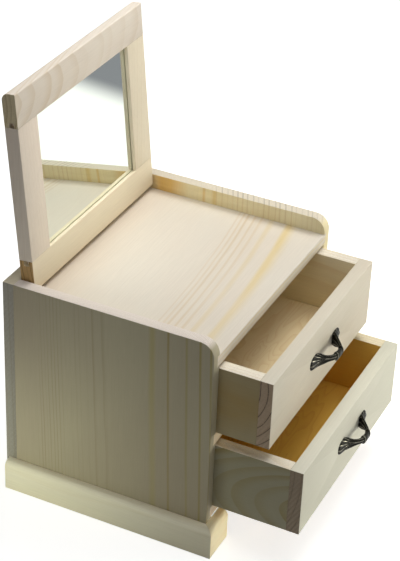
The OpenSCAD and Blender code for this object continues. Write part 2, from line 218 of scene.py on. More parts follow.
def pine(name, grain, pith, year_mm=3.2, early="#E9DCC0", late="#CDB07A", blush="#E6D6C2",
         faint=0.3, band=0.34, lean=(0.0, 0.0), bow=0.0, sway_mm=1.0, where=(), marks=(), read=None,
         end_tone="#D9CCB6", end_line="#A08A68", sawn=0.0, cut_axis=None, cracks=0.0, seed=0.0,
         ends_fade=False, inner=None):
    """Planed pine. Its years are cylinders about the pith line, so a flat-sawn
    face shows arches, a rift face lines and a cut end arcs. The line runs
    along the grain at pith, in mm on the two other axes, leans by so much a mm
    and bows sideways. early and blush are its pale tones in patches and late
    the dark edge of a year, faint strong and band of a year wide.
    where = [(mm on the read axis, strength)] fades the years over a face, and
    with ends_fade over the cut ends too. marks = [(from, to, colour)] are its
    strong lines or bands, measured at read = (axis, mm on the other axis, mm
    along the grain). Cut ends have their own two tones. They are the faces
    across the grain or across cut_axis, with the lines of a saw where sawn and
    dark checks where cracks. inner is a tone for faces towards -X: painted
    bounce light on the inside of a drawer side."""
    made, tree = blank_material(name)
    place = node(tree, "ShaderNodeTexCoord")
    mm = node(tree, "ShaderNodeVectorMath", {0: place.outputs["Object"]}, {1: (1000, 1000, 1000)},
              operation="MULTIPLY")
    axes = node(tree, "ShaderNodeSeparateXYZ", {0: mm})
    along = "XYZ".index(grain)
    cross = [i for i in (0, 1, 2) if i != along]

    # Slow sway of the years: about 60 mm across and 170 mm along the grain
    squash = [0.016, 0.016, 0.016]
    squash[along] = 0.006
    slow_place = node(tree, "ShaderNodeVectorMath", {0: mm},
                      {1: squash, 2: (seed, seed * 1.7, -seed)}, operation="MULTIPLY_ADD")
    slow = node(tree, "ShaderNodeTexNoise", {"Vector": slow_place},
                {"Scale": 1.0, "Detail": 4.0, "Roughness": 0.45})
    slow_hues = node(tree, "ShaderNodeSeparateColor", {0: slow.outputs["Color"]})
    sway = node(tree, "ShaderNodeMath", {0: slow.outputs["Fac"]}, {1: 4 * sway_mm, 2: -2 * sway_mm},
                operation="MULTIPLY_ADD")
    offs, squares = [], []
    for axis, centre, tilt, curve in zip(cross, pith, lean, (bow, 0.0)):
        slope = node(tree, "ShaderNodeMath", {0: axes.outputs[along]}, {1: -curve, 2: -tilt},
                     operation="MULTIPLY_ADD")
        drift = node(tree, "ShaderNodeMath", {0: axes.outputs[along], 1: slope}, {2: -centre},
                     operation="MULTIPLY_ADD")
        off = node(tree, "ShaderNodeMath", {0: axes.outputs[axis], 1: drift}, operation="ADD")
        offs.append(off)
        squares.append(node(tree, "ShaderNodeMath", {0: off, 1: off},
                            operation="MULTIPLY"))
    total = node(tree, "ShaderNodeMath", {0: squares[0], 1: squares[1]},
                 operation="ADD")
    radius = node(tree, "ShaderNodeMath", {0: total}, operation="SQRT")
    bent = node(tree, "ShaderNodeMath", {0: radius, 1: sway}, operation="ADD")

    # Each year has its own width and strength: pale growth that darkens
    # towards a hard edge
    rings = node(tree, "ShaderNodeMath", {0: bent}, {1: year_mm}, operation="DIVIDE")
    part = node(tree, "ShaderNodeMath", {0: rings}, operation="FRACT")
    count = node(tree, "ShaderNodeMath", {0: rings}, operation="FLOOR")
    chance = node(tree, "ShaderNodeTexWhiteNoise", {"W": count}, noise_dimensions="1D")
    chances = node(tree, "ShaderNodeSeparateColor", {0: chance.outputs["Color"]})
    edge_at = node(tree, "ShaderNodeMapRange", {"Value": chances}, {"To Min": 0.62, "To Max": 0.95})
    rest = node(tree, "ShaderNodeMath", {0: part, 1: edge_at}, operation="SUBTRACT")
    rising = node(tree, "ShaderNodeMapRange", {"Value": rest},
                  {"From Min": -band, "From Max": 0.0}, interpolation_type="SMOOTHSTEP")
    falling = node(tree, "ShaderNodeMapRange", {"Value": rest},
                   {"From Min": 0.0, "From Max": 0.05, "To Min": 1.0, "To Max": 0.0})
    line = node(tree, "ShaderNodeMath", {0: rising, 1: falling}, operation="MULTIPLY")
    depth = node(tree, "ShaderNodeMapRange", {"Value": chances.outputs[1]},
                 {"To Min": 0.25, "To Max": 1.0})
    year = node(tree, "ShaderNodeMath", {0: line, 1: depth}, operation="MULTIPLY")
    # Lines come and go along the grain
    fade = node(tree, "ShaderNodeMapRange", {"Value": slow_hues.outputs[1]},
                {"From Min": 0.35, "From Max": 0.65, "To Min": 0.45, "To Max": 1.0})
    shown = node(tree, "ShaderNodeMath", {0: year, 1: fade}, operation="MULTIPLY")
    end_year = year
    if where:
        low, high = where[0][0], where[-1][0]
        spread = node(tree, "ShaderNodeMapRange", {"Value": axes.outputs["XYZ".index(read[0])]},
                      {"From Min": low, "From Max": high})
        over = node(tree, "ShaderNodeValToRGB", {0: spread})
        stops = over.color_ramp.elements
        for i, (at, strength) in enumerate(where):
            stop = stops[i] if i < 2 else stops.new(0.999)
            stop.position = (at - low) / (high - low)
            stop.color = (strength, strength, strength, 1)
        shown = node(tree, "ShaderNodeMath", {0: shown, 1: over}, operation="MULTIPLY")
        if ends_fade:
            end_year = node(tree, "ShaderNodeMath", {0: year, 1: over}, operation="MULTIPLY")
    amount = node(tree, "ShaderNodeMath", {0: shown}, {1: faint}, operation="MULTIPLY")

    # Patches of pinker and yellower wood. A Mix of colours takes them at its
    # inputs 6 and 7 and gives its result at output 2
    patch = node(tree, "ShaderNodeMapRange", {"Value": slow_hues.outputs[2]},
                 {"From Min": 0.35, "From Max": 0.65})
    base = node(tree, "ShaderNodeMix", {0: patch}, {6: linear(early), 7: linear(blush)},
                data_type="RGBA")
    wood = base.outputs[2]
    if inner:
        # The inside of a right-hand drawer side takes the inner tone: painted bounce light
        turned = node(tree, "ShaderNodeVectorMath", {0: place.outputs["Normal"]}, {1: (-1, 0, 0)},
                      operation="DOT_PRODUCT")
        inside = node(tree, "ShaderNodeMapRange", {"Value": turned.outputs["Value"]},
                      {"From Min": 0.6, "From Max": 0.9})
        painted_bounce = node(tree, "ShaderNodeMix", {0: inside, 6: wood}, {7: linear(inner)},
                     data_type="RGBA")
        wood = painted_bounce.outputs[2]
    if marks:
        # Marks on either side of the pith have their own sign
        read_at = cross.index("XYZ".index(read[0]))
        face_off = abs(read[1] - pith[1 - read_at])
        side = node(tree, "ShaderNodeMath", {0: offs[read_at]}, operation="SIGN")
        height = node(tree, "ShaderNodeMath", {0: bent}, {1: face_off}, operation="SUBTRACT")
        signed = node(tree, "ShaderNodeMath", {0: height, 1: side}, operation="MULTIPLY")

        def signed_at(mm_at):
            reach = mm_at - lean[read_at] * read[2] - pith[read_at]
            return math.copysign(math.hypot(reach, face_off) - face_off, reach)

        bands = sorted(sorted((signed_at(a), signed_at(b))) + [c] for a, b, c in marks)
        low, high = bands[0][0] - 1.0, bands[-1][1] + 1.0
        spread = node(tree, "ShaderNodeMapRange", {"Value": signed},
                      {"From Min": low, "From Max": high})
        table = node(tree, "ShaderNodeValToRGB", {0: spread})
        stops = table.color_ramp.elements
        stops[0].color = linear(bands[0][2])[:3] + [0]
        stops[1].color = linear(bands[-1][2])[:3] + [0]
        for start, end, colour in bands:
            for share, strength in ((-0.15, 0), (0.4, 0.8), (0.7, 0.8), (1.15, 0)):
                stop = stops.new((start + (end - start) * share - low) / (high - low))
                stop.color = linear(colour)[:3] + [strength]
        mask = node(tree, "ShaderNodeMath", {0: table.outputs["Alpha"], 1: fade},
                    operation="MULTIPLY")
        marked = node(tree, "ShaderNodeMix", {0: mask, 6: wood, 7: table.outputs["Color"]},
                      data_type="RGBA")
        wood = marked.outputs[2]
    ringed = node(tree, "ShaderNodeMix", {0: amount, 6: wood}, {7: linear(late)}, data_type="RGBA")

    # Fibres, drawn 0.4 mm wide and 20 mm long
    fine = [2.4, 2.4, 2.4]
    fine[along] = 0.05
    thin = node(tree, "ShaderNodeVectorMath", {0: mm}, {1: fine}, operation="MULTIPLY")
    fibre = node(tree, "ShaderNodeTexNoise", {"Vector": thin},
                 {"Scale": 1.0, "Detail": 3.0, "Roughness": 0.6})
    fibre_tone = node(tree, "ShaderNodeMapRange", {"Value": fibre.outputs["Fac"]},
                      {"From Min": 0.3, "From Max": 0.7, "To Min": 0.95, "To Max": 1.03})
    long_grain = node(tree, "ShaderNodeVectorMath", {0: ringed.outputs[2], "Scale": fibre_tone},
                      operation="SCALE")

    # Cut ends: every year shows, between pores; a saw leaves slanting lines
    # about 2 mm apart
    facing = [0, 0, 0]
    facing[along if cut_axis is None else "XYZ".index(cut_axis)] = 1
    aligned = node(tree, "ShaderNodeVectorMath", {0: place.outputs["Normal"]}, {1: facing},
                   operation="DOT_PRODUCT")
    endwise = node(tree, "ShaderNodeMath", {0: aligned.outputs["Value"]}, operation="ABSOLUTE")
    is_end = node(tree, "ShaderNodeMapRange", {"Value": endwise},
                  {"From Min": 0.6, "From Max": 0.9})
    end_base = node(tree, "ShaderNodeMix", {0: end_year},
                    {6: linear(end_tone), 7: linear(end_line)}, data_type="RGBA")
    pores = node(tree, "ShaderNodeTexNoise", {"Vector": mm},
                 {"Scale": 1.4, "Detail": 2.0, "Roughness": 0.7})
    pore_tone = node(tree, "ShaderNodeMapRange", {"Value": pores.outputs["Fac"]},
                     {"From Min": 0.35, "From Max": 0.65, "To Min": 0.90, "To Max": 1.05})
    tooth_place = node(tree, "ShaderNodeVectorMath", {0: mm}, {1: (0.55, 0.62, 0.38)},
                       operation="DOT_PRODUCT")
    tooth_warp = node(tree, "ShaderNodeMath",
                      {0: pores.outputs["Fac"], 1: tooth_place.outputs["Value"]}, operation="ADD")
    tooth_turn = node(tree, "ShaderNodeMath", {0: tooth_warp}, {1: 3.6}, operation="MULTIPLY")
    tooth = node(tree, "ShaderNodeMath", {0: tooth_turn}, operation="SINE")
    tooth_here = node(tree, "ShaderNodeMath", {0: tooth, 1: patch}, operation="MULTIPLY")
    tooth_tone = node(tree, "ShaderNodeMath", {0: tooth_here}, {1: 0.5 * sawn, 2: 1 - 0.2 * sawn},
                      operation="MULTIPLY_ADD")
    end_tones = node(tree, "ShaderNodeMath", {0: pore_tone, 1: tooth_tone},
                     operation="MULTIPLY")
    if cracks:
        # Resin-dark checks along the hard edges of the years, here and there
        split_at = node(tree, "ShaderNodeMapRange", {"Value": rest},
                        {"From Min": 0.0, "From Max": 0.14, "To Min": 1.0, "To Max": 0.0})
        before = node(tree, "ShaderNodeMath", {0: rest}, {1: -0.03}, operation="GREATER_THAN")
        open_here = node(tree, "ShaderNodeMapRange", {"Value": pores.outputs["Fac"]},
                         {"From Min": 0.30, "From Max": 0.45})
        gap = node(tree, "ShaderNodeMath", {0: split_at, 1: before}, operation="MULTIPLY")
        gap_here = node(tree, "ShaderNodeMath", {0: gap, 1: open_here},
                        operation="MULTIPLY")
        crack_tone = node(tree, "ShaderNodeMath", {0: gap_here}, {1: -cracks, 2: 1.0},
                          operation="MULTIPLY_ADD")
        end_tones = node(tree, "ShaderNodeMath", {0: end_tones, 1: crack_tone},
                         operation="MULTIPLY")
    end_colour = node(tree, "ShaderNodeVectorMath", {0: end_base.outputs[2], "Scale": end_tones},
                      operation="SCALE")
    colour = node(tree, "ShaderNodeMix", {0: is_end, 6: long_grain, 7: end_colour},
                  data_type="RGBA")
    rough = node(tree, "ShaderNodeMapRange", {"Value": shown}, {"To Min": 0.62, "To Max": 0.50})
    relief = node(tree, "ShaderNodeMath", {0: fibre.outputs["Fac"], 1: shown}, operation="ADD")
    bump = node(tree, "ShaderNodeBump", {"Height": relief}, {"Strength": 0.3, "Distance": 0.00005})
    surface = node(tree, "ShaderNodeBsdfPrincipled",
                   {"Base Color": colour.outputs[2], "Roughness": rough, "Normal": bump},
                   {"IOR": 1.5, "Specular IOR Level": 0.3})
    node(tree, "ShaderNodeOutputMaterial", {"Surface": surface})
    return made


# Left side: rift sawn, thin lines near the rear, four ochre lines in front.
# Its grey tone, darker than the right side's, is partly the wood and partly painted shade
upright_left = pine(
    "pine_planed_left_side", "Z", (-191, -90), 1.15, "#B0A98F", "#7C6C42", "#ABA18A", faint=0.62,
    lean=(0.0, 0.030), sway_mm=0.30, seed=1.0, read=("Y", -91, 160),
    where=[(-150, 0.0), (-104, 0.0), (-84, 0.1), (-81, 0.85), (-53, 0.6), (-49, 0.1), (-43, 0.8),
           (-29, 1.0), (-24, 0.05), (0, 0.08)],
    marks=[(-105, -109.5, "#ABA06E"), (-117.4, -119.0, "#93803E"), (-130.0, -131.8, "#9F9460"),
           (-139.4, -141.1, "#948438"), (-146.6, -148.4, "#9C8D50")],
    end_tone="#E6DCD2", end_line="#CDBFB0")
# Right side: straight years 4 mm apart, with an amber strip at the rear.
# Its very pale tone is painted light, the bounce from the top board on its inner face
upright_right = pine(
    "pine_planed_right_side", "Z", (-60, 240), 3.7, "#FAEFC8", "#CDA860", "#F7E7B8", faint=0.45,
    sway_mm=0.3, seed=2.0, read=("Y", 83, 155), ends_fade=True,
    where=[(-150, 0.7), (-72, 0.8), (-60, 0.1), (0, 0.05)],
    marks=[(-16, -42, "#EFBB4C"), (-56.5, -59, "#E6BE66"), (-64, -68, "#EED084")],
    end_tone="#EAE0CB", end_line="#B0A690")
upright_back = pine("pine_planed_back_panel", "Z", (-30, 110), 3.6, "#D2C9B0", "#B2965E", "#CABFA8",
                    faint=0.4, lean=(0.04, 0.0), seed=3.0, cut_axis="X", sawn=0.16,
                    end_tone="#A29E93", end_line="#918B7C")
# Top board: almost white, golden streaks towards the front edge
across_top = pine(
    "pine_planed_top_board", "X", (-143.5, 89), 2.4, "#E4DDCF", "#D5BC99", "#E4D8C8", faint=0.3,
    lean=(0.083, 0.0), bow=0.00045, sway_mm=0.35, seed=4.0, read=("Y", 149, 0),
    where=[(-150, 0.1), (-112, 0.2), (-104, 0.5), (-93, 0.4), (-88, 0.1), (-66, 0.1), (-60, 0.3),
           (-54, 0.1), (-34, 0.3), (0, 0.3)],
    marks=[(-137.0, -130.4, "#E3CB8C"), (-122.4, -118.2, "#E1D0AC"), (-114.2, -111.8, "#DCCAAE"),
           (-109.0, -107.1, "#D9C6A8"), (-104.1, -102.1, "#D6C2A2"), (-100.6, -99.0, "#DBC9AE"),
           (-97.1, -95.7, "#DDCDB6")],
    end_tone="#E0D3BC", end_line="#C2AE8A")
across_low = pine("pine_planed_cross_boards", "X", (-60, 160), 3.6, "#F2E2B4", "#C9A25E", faint=0.5,
                  seed=5.0)

SIDE_EASE, SHELF_EASE = 0.00045, 0.0002
for name, source, ease, slot_name, wood in (
        ("side_left", "left_side", SIDE_EASE, "pine_upright", upright_left),
        ("side_right", "right_side", SIDE_EASE, "pine_upright", upright_right),
        ("panel_back", "back_panel", SIDE_EASE, "pine_upright", upright_back),
        ("board_top", "top_board", SHELF_EASE, "pine_across", across_top),
        ("board_divider", "divider", SHELF_EASE, "pine_across", across_low),
        ("board_bottom", "bottom_board", SHELF_EASE, "pine_across", across_low)):
    eased(name, source, ease, "carcase", wood)

# The plinth: thin pine strips with a rounded upper edge, mitred at the front
# corners and glued on. Across the front only two short foot pieces return.
# Strips and feet are paler than the sides: painted light from the bright floor
strip_side = pine("pine_moulded_plinth_side", "Y", (-500, 60), 3.4, "#FBF5DE", "#DFCB9A", "#F8F0D4",
                  faint=0.22, seed=6.0)
strip_front = pine("pine_moulded_foot", "X", (-500, -60), 3.4, "#FBF0CC", "#E6CE98", "#F8EAC4",
                   faint=0.3, seed=7.0)
STRIP_EASE = 0.0003
for hand in ("left", "right"):
    eased("plinth_strip_" + hand, "plinth_" + hand, STRIP_EASE, "carcase",
          strip_side)
for hand in ("left", "right"):
    eased("foot_piece_" + hand, "foot_" + hand, STRIP_EASE, "carcase",
          strip_front)

# The pivot pins: plain drawn steel wire, pressed into the sides. They are
# hidden but for the short gap beside the mirror frame.
wire, tree = blank_material("steel_drawn_wire")
place = node(tree, "ShaderNodeTexCoord")
mm = node(tree, "ShaderNodeVectorMath", {0: place.outputs["Object"]}, {1: (60, 900, 900)},
          operation="MULTIPLY")
lines = node(tree, "ShaderNodeTexNoise", {"Vector": mm}, {"Scale": 4.0, "Detail": 2.0})
dull = node(tree, "ShaderNodeMapRange", {"Value": lines.outputs["Fac"]},
            {"To Min": 0.25, "To Max": 0.45})
surface = node(tree, "ShaderNodeBsdfPrincipled", {"Roughness": dull},
               {"Base Color": linear("#A8A8A4"), "Metallic": 1.0})
node(tree, "ShaderNodeOutputMaterial", {"Surface": surface})


def coat(source, finish):
    """Gives its finish to a CAD node whose shape stays as it is."""
    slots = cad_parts[source].data.materials
    slots.clear()
    slots.append(finish)


coat("pivot_pin_left", wire)
coat("pivot_pin_right", wire)

# The mirror frame: two rails across the full width with the stiles between,
# grooved on the inner edges. Planed pine, the upper rear arris well rounded.
# The top rail is flat sawn and shows a few pale waves at its left.
rail_top = pine("pine_planed_top_rail", "X", (48, 276), 3.0, "#F8EFE1", "#D6BC94", "#F6E9DA",
                faint=0.6, band=0.6, lean=(0.17, 0.0), sway_mm=2.0, seed=8.0, read=("X", 0, 0),
                where=[(-82, 1.0), (-20, 0.8), (10, 0.4), (82, 0.5)], end_tone="#DCCDAA",
                end_line="#A68F62")
rail_low = pine("pine_planed_bottom_rail", "X", (-160, 190), 3.0, "#F6EACC", "#DBBF8E", "#F4E2C6",
                faint=0.25, seed=9.0, end_tone="#C4A06A", end_line="#86683A")
stile_left = pine("pine_planed_left_stile", "Z", (-190, -120), 2.8, "#F2E6D6", "#D6C0A2", "#EEDFCF",
                  faint=0.25, lean=(0.0, 0.05), seed=10.0)
stile_right = pine("pine_planed_right_stile", "Z", (190, -130), 2.8, "#F9EED6", "#DCC396",
                   "#F4E7CE", faint=0.3, lean=(0.10, 0.05), seed=11.0)
FRAME_EASE = 0.0003
for member, slot_name, wood in (
        ("top_rail", "pine_rail", rail_top), ("bottom_rail", "pine_rail", rail_low),
        ("left_stile", "pine_stile", stile_left), ("right_stile", "pine_stile", stile_right)):
    eased("frame_" + member, "mirror_" + member, FRAME_EASE, "mirror", wood)

# The mirror: 3 mm float glass silvered on its rear face. A faint ripple of
# the float bath and the green of the glass are all that show in it.
silver, tree = blank_material("silvered_float_glass")
place = node(tree, "ShaderNodeTexCoord")
waves = node(tree, "ShaderNodeTexNoise", {"Vector": place.outputs["Object"]},
             {"Scale": 9.0, "Detail": 1.0})
float_bump = node(tree, "ShaderNodeBump", {"Height": waves.outputs["Fac"]},
                  {"Strength": 0.05, "Distance": 0.00002})
surface = node(tree, "ShaderNodeBsdfPrincipled", {"Normal": float_bump},
               {"Base Color": linear("#E9EEE8"), "Metallic": 1.0, "Roughness": 0.015})
node(tree, "ShaderNodeOutputMaterial", {"Surface": surface})
coat("mirror_glass", silver)

# The backing: thin hardboard, pressed wood fluff that is brown and matt.
board_brown, tree = blank_material("hardboard_pressed")
place = node(tree, "ShaderNodeTexCoord")
fluff = node(tree, "ShaderNodeTexNoise", {"Vector": place.outputs["Object"]},
             {"Scale": 900.0, "Detail": 3.0, "Roughness": 0.7})
tint = node(tree, "ShaderNodeMix", {0: fluff.outputs["Fac"]},
            {6: linear("#5E4428"), 7: linear("#8A6B45")}, data_type="RGBA")
press = node(tree, "ShaderNodeBump", {"Height": fluff.outputs["Fac"]},
             {"Strength": 0.4, "Distance": 0.0001})
surface = node(tree, "ShaderNodeBsdfPrincipled", {"Base Color": tint.outputs[2], "Normal": press},
               {"Roughness": 0.75})
node(tree, "ShaderNodeOutputMaterial", {"Surface": surface})
coat("mirror_backing", board_brown)

# The drawers: boxes of 9 mm pine, the front running the full width over the
# sides. The fronts are flat sawn from near the bark, so their faces are
# plain, and their sawn ends show dark checks along the years.
front_upper = pine("pine_planed_upper_front", "X", (-141, 132), 5.1, "#E4DDCB", "#CDBB98",
                   "#DFD3BF", faint=0.14, sway_mm=3.0, seed=12.0, sawn=0.25, cracks=0.85,
                   end_tone="#B29C84", end_line="#A68D74")
front_lower = pine("pine_planed_lower_front", "X", (-110, 75), 4.6, "#E3E0CF", "#CDC19C", "#DEDDCB",
                   faint=0.12, sway_mm=0.9, seed=13.0, sawn=0.3, cracks=0.3,
                   end_tone="#988874", end_line="#8A7862")
# The left sides are painted darker and greyer: painted shade. Their top edges
# are painted pale: painted light from above
painted_lit_top_edges = {"cut_axis": "Z", "end_tone": "#F1E8D6", "end_line": "#E2D2B2"}
left_upper = pine("pine_planed_upper_left_side", "Y", (-400, 60), 3.0, "#A19A80", "#8A6A2E",
                  "#9C8450", faint=0.15, seed=14.0, **painted_lit_top_edges)
left_lower = pine("pine_planed_lower_left_side", "Y", (10.4, 46), 5.2, "#9F9A82", "#7E6A14",
                  "#9A947A", faint=0.95, band=0.75, lean=(0.35, 0.0), sway_mm=0.8, seed=15.0,
                  **painted_lit_top_edges)
# Their inner faces are paler, and amber in the lower drawer: painted bounce light and shade
right_upper = pine("pine_planed_upper_right_side", "Y", (-400, 60), 3.0, "#F3E4BE", "#D9B678",
                   "#F0DEB4", faint=0.3, seed=17.0, cut_axis="Z", end_tone="#F1E8D6",
                   end_line="#E6D6B4", inner="#FBEDC8")
right_lower = pine("pine_planed_lower_right_side", "Y", (-400, 60), 3.0, "#EEDFBC", "#D3AE6C",
                   "#EAD8B0", faint=0.3, seed=18.0, cut_axis="Z", end_tone="#F3E7C6",
                   end_line="#E6D6B4", inner="#F8C860")
cross_back = pine("pine_planed_drawer_back", "X", (40, 160), 3.2, "#F6DC98", "#D3A652", "#F2D488",
                  faint=0.35, seed=16.0)
# Their bottoms are three-ply pine in grooves: a rotary-cut face, with loose
# waves across it, and browner edges. The lower one is painted more amber:
# painted shade, the warm dim light inside the lower drawer.
plies = {}
for level_name, pale, deep_tone in (("upper", "#FBE6BA", "#E4C084"),
                                    ("lower", "#F9C85A", "#E09A3C")):
    plies[level_name], tree = blank_material("pine_plywood_" + level_name)
    place = node(tree, "ShaderNodeTexCoord")
    mm = node(tree, "ShaderNodeVectorMath", {0: place.outputs["Object"]}, {1: (1000, 1000, 1000)},
              operation="MULTIPLY")
    flat_place = node(tree, "ShaderNodeVectorMath", {0: mm}, {1: (0.010, 0.045, 0.0)},
                      operation="MULTIPLY")
    peel = node(tree, "ShaderNodeTexNoise", {"Vector": flat_place},
                {"Scale": 1.0, "Detail": 2.0, "Roughness": 0.5, "Distortion": 0.6})
    peels = node(tree, "ShaderNodeMath", {0: peel.outputs["Fac"]}, {1: 14.0}, operation="MULTIPLY")
    peel_part = node(tree, "ShaderNodeMath", {0: peels}, operation="FRACT")
    peel_line = node(tree, "ShaderNodeMapRange", {"Value": peel_part},
                     {"From Min": 0.5, "To Max": 0.35})
    face_tone = node(tree, "ShaderNodeMix", {0: peel_line}, {6: linear(pale), 7: linear(deep_tone)},
                     data_type="RGBA")
    turned = node(tree, "ShaderNodeSeparateXYZ", {0: place.outputs["Normal"]})
    flatness = node(tree, "ShaderNodeMath", {0: turned.outputs["Z"]}, operation="ABSOLUTE")
    is_edge = node(tree, "ShaderNodeMath", {0: flatness}, {1: 0.5}, operation="LESS_THAN")
    edge_tone = node(tree, "ShaderNodeMix", {0: is_edge, 6: face_tone.outputs[2]},
                     {7: linear("#9C7442")}, data_type="RGBA")
    hairs = node(tree, "ShaderNodeVectorMath", {0: mm}, {1: (0.06, 2.2, 2.2)}, operation="MULTIPLY")
    hair = node(tree, "ShaderNodeTexNoise", {"Vector": hairs}, {"Scale": 1.0, "Detail": 3.0})
    nap = node(tree, "ShaderNodeBump", {"Height": hair.outputs["Fac"]},
               {"Strength": 0.3, "Distance": 0.00006})
    surface = node(tree, "ShaderNodeBsdfPrincipled",
                   {"Base Color": edge_tone.outputs[2], "Normal": nap},
                   {"Roughness": 0.66, "Specular IOR Level": 0.3})
    node(tree, "ShaderNodeOutputMaterial", {"Surface": surface})

FRONT_EASE, BOX_EASE = 0.0004, 0.0003
for level_name, front_wood, left_wood, right_wood in (
        ("upper", front_upper, left_upper, right_upper),
        ("lower", front_lower, left_lower, right_lower)):
    body = level_name + "_drawer"
    for part_name, source, ease, slot_name, wood in (
            ("_front", "_front", FRONT_EASE, "pine_drawer_front", front_wood),
            ("_left", "_left_side", BOX_EASE, "pine_drawer_side", left_wood),
            ("_right", "_right_side", BOX_EASE, "pine_drawer_side", right_wood),
            ("_back", "_back", BOX_EASE, "pine_drawer_back", cross_back)):
        eased(body + part_name, level_name + source, ease, body, wood)
    coat(level_name + "_bottom", plies[level_name])

# The pulls: cast zinc with an antique bronze finish, near black in the
# hollows. The grey on the ridge crests and collar rings is partly rubbed wear
# and partly painted highlight. Reeded arms run from a ringed collar to two
# shells, each held by a screw from inside the drawer.
bronze, tree = blank_material("antique_bronze_worn_and_highlit")
place = node(tree, "ShaderNodeTexCoord")
ridge = node(tree, "ShaderNodeAttribute", attribute_name="ridge_wear_and_highlight")
blotch = node(tree, "ShaderNodeTexNoise", {"Vector": place.outputs["Object"]},
              {"Scale": 900.0, "Detail": 3.0, "Roughness": 0.6})
worn_and_highlit = node(tree, "ShaderNodeMath", {0: blotch.outputs["Fac"], 1: ridge.outputs["Fac"]},
            operation="MULTIPLY")
bright_part = node(tree, "ShaderNodeMapRange", {"Value": worn_and_highlit},
                   {"From Min": 0.26, "From Max": 0.52})
tint = node(tree, "ShaderNodeMix", {0: bright_part}, {6: linear("#17160F"), 7: linear("#7E7B6E")},
            data_type="RGBA")
rub = node(tree, "ShaderNodeMapRange", {"Value": bright_part}, {"To Min": 0.45, "To Max": 0.26})
cast = node(tree, "ShaderNodeBump", {"Height": blotch.outputs["Fac"]},
            {"Strength": 0.12, "Distance": 0.00004})
surface = node(tree, "ShaderNodeBsdfPrincipled",
               {"Base Color": tint.outputs[2], "Roughness": rub, "Normal": cast},
               {"Metallic": 0.8, "Specular IOR Level": 0.4})
node(tree, "ShaderNodeOutputMaterial", {"Surface": surface})


def recipe_for(name, inputs):
    """A new geometry tree with these named inputs, and its input node."""
    recipe = bpy.data.node_groups.new(name, "GeometryNodeTree")
    recipe.is_modifier = True
    recipe.interface.new_socket("Geometry", in_out="OUTPUT", socket_type="NodeSocketGeometry")
    for label, kind, value in inputs:
        socket = recipe.interface.new_socket(label, in_out="INPUT", socket_type="NodeSocket" + kind)
        if value is not None:
            socket.default_value = value
    return recipe, node(recipe, "NodeGroupInput")


HALF_MM = 24.0
bow_pull, sizes = recipe_for("bow_pull", (
    ("Half Length", "Float", HALF_MM), ("Stations", "Int", 193), ("Around", "Int", 73),
    ("Arm Reeds", "Float", 7.0), ("Reed Depth", "Float", 0.30), ("Shell Root", "Float", 10.5),
    ("Shell Reeds", "Float", 11.0), ("Shell Depth", "Float", 0.7), ("Place", "Vector", (0, 0, 0)),
    ("Metal", "Material", None)))
g = bow_pull
sheet = node(g, "GeometryNodeMeshGrid",
             {"Vertices X": sizes.outputs["Stations"], "Vertices Y": sizes.outputs["Around"]},
             {"Size X": 2.0, "Size Y": 1.0})
spot = node(g, "GeometryNodeInputPosition")
parts = node(g, "ShaderNodeSeparateXYZ", {0: spot})
# Stations crowd towards the tips so that these close round
quarter = node(g, "ShaderNodeMath", {0: parts.outputs["X"]}, {1: math.pi / 2},
               operation="MULTIPLY")
sine = node(g, "ShaderNodeMath", {0: quarter}, operation="SINE")
run = node(g, "ShaderNodeMath", {0: sine, 1: sizes.outputs["Half Length"]}, operation="MULTIPLY")
away = node(g, "ShaderNodeMath", {0: run}, operation="ABSOLUTE")
share = node(g, "ShaderNodeMath", {0: away, 1: sizes.outputs["Half Length"]}, operation="DIVIDE")
turn_round = node(g, "ShaderNodeMath", {0: parts.outputs["Y"]}, {1: 2 * math.pi},
                  operation="MULTIPLY")
cosine = node(g, "ShaderNodeMath", {0: turn_round}, operation="COSINE")
sine_round = node(g, "ShaderNodeMath", {0: turn_round}, operation="SINE")
# Outline over the half length in mm: outer face, under face, half height
outline = ((0, 11.7, 8.9, 2.7), (3, 11.5, 8.7, 2.6), (6, 10.5, 7.6, 2.4), (8, 9.2, 6, 2.45),
           (10, 7.5, 3.9, 3.1), (11.4, 6.2, 1.7, 4.1), (12.4, 5.3, -0.4, 4.8), (14, 4.2, -2.6, 5.1),
           (16, 3.1, -2.9, 5.15), (19, 2.3, -2.3, 5), (21.5, 1.9, -1.9, 4.3),
           (23.2, 1.3, -1.3, 2.7), (HALF_MM, 0, 0, 0))
# Swelling of the collar and its rings over the same length
collar = ((0, 1.16), (1.9, 1.14), (2.35, 1.08), (2.9, 1.33), (3.4, 1.16), (4.0, 1.41), (4.55, 1.12),
          (5.2, 1.0), (HALF_MM, 1.0))
# A curve holds 0 to 1, so a row's value is kept as its share of a span
curves = []
for rows, column, low, span in ((outline, 1, -4.0, 16.0), (outline, 2, -4.0, 16.0),
                                (outline, 3, -4.0, 16.0), (collar, 1, 1.0, 1.0)):
    shape = node(g, "ShaderNodeFloatCurve", {"Value": share})
    course = shape.mapping.curves[0]
    for row in rows[1:-1]:
        course.points.new(row[0] / HALF_MM, (row[column] - low) / span)
    for point, row in zip(course.points, rows):
        point.location = (row[0] / HALF_MM, (row[column] - low) / span)
    shape.mapping.update()
    curves.append(node(g, "ShaderNodeMath", {0: shape}, {1: span, 2: low},
                       operation="MULTIPLY_ADD"))
outer, under, half_height, swell = curves
sum_of = node(g, "ShaderNodeMath", {0: outer, 1: under}, operation="ADD")
middle = node(g, "ShaderNodeMath", {0: sum_of}, {1: 0.5}, operation="MULTIPLY")
gap_of = node(g, "ShaderNodeMath", {0: outer, 1: under}, operation="SUBTRACT")
half_thick = node(g, "ShaderNodeMath", {0: gap_of}, {1: 0.5}, operation="MULTIPLY")
flat_z = node(g, "ShaderNodeMath", {0: cosine, 1: half_height}, operation="MULTIPLY")
